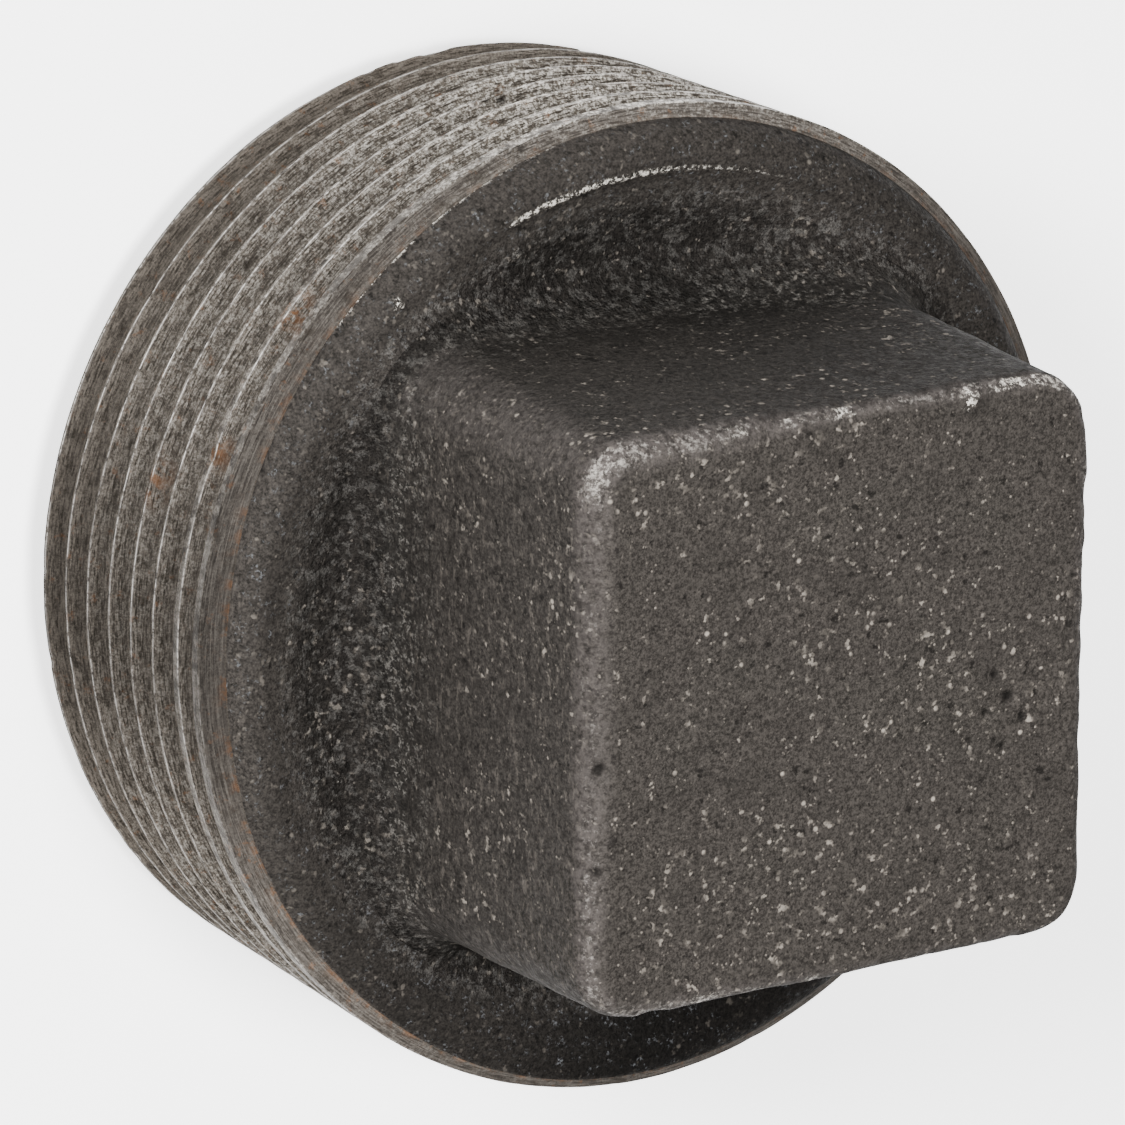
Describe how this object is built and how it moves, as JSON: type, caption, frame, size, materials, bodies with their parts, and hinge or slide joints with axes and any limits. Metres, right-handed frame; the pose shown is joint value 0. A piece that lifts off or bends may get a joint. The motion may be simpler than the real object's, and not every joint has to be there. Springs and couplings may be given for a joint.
{
  "type": "square head pipe plug",
  "caption": "Square-head pipe plug: a solid drafted square head for a wrench over a dished shoulder and a tapered external pipe thread, cored hollow from the threaded end.",
  "frame": {"origin": "centre of the annular face at the threaded end", "axes": "+Z along the plug's axis from the threaded end to the square head; +X and +Y square to the wrench flats"},
  "size_m": [0.0485, 0.0485, 0.036],
  "materials": {
    "cast skin": "black oxide skin on the head and shoulder, turned iron with light rust on the thread"
  },
  "bodies": {
    "root": {"plug_body": "cast skin"}
  },
  "joints": []
}
